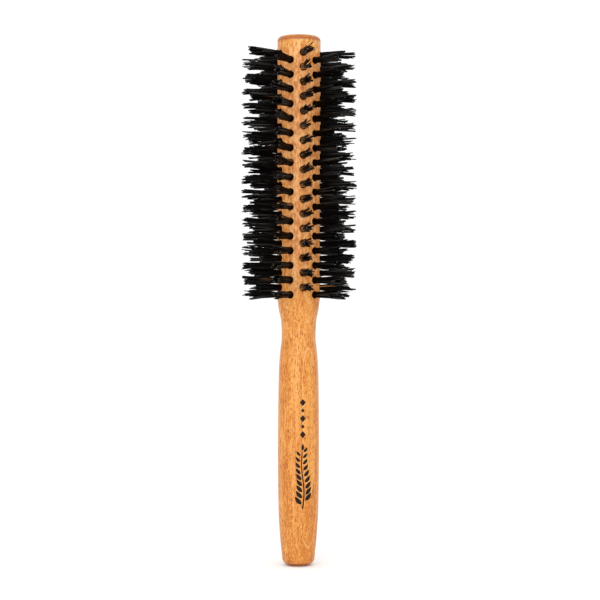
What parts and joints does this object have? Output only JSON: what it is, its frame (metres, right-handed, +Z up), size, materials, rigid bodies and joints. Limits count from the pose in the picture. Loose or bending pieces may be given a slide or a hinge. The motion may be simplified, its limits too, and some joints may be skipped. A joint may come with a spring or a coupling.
{
  "type": "round barrel hair brush",
  "caption": "Round blow-dry hair brush: turned wooden barrel and handle in one, with staggered rows of dark bristle tufts all round the barrel.",
  "frame": {"origin": "centre of the flat butt face at the bottom of the handle, on the brush's axis", "axes": "+Z runs up the axis from the butt to the barrel's end; -Y is the front, where the first row of tufts stands; +X is to the right seen from the front"},
  "size_m": [0.046, 0.0484, 0.22],
  "materials": {
    "beech": "satin",
    "bristle": "satin",
    "staple_wire": "satin",
    "print_ink": "satin"
  },
  "bodies": {
    "root": {"wooden_body": "beech", "bristle_row_01": "bristle", "bristle_row_02": "bristle", "bristle_row_03": "bristle", "bristle_row_04": "bristle", "bristle_row_05": "bristle", "bristle_row_06": "bristle", "bristle_row_07": "bristle", "bristle_row_08": "bristle", "bristle_row_09": "bristle", "bristle_row_10": "bristle"}
  },
  "joints": []
}
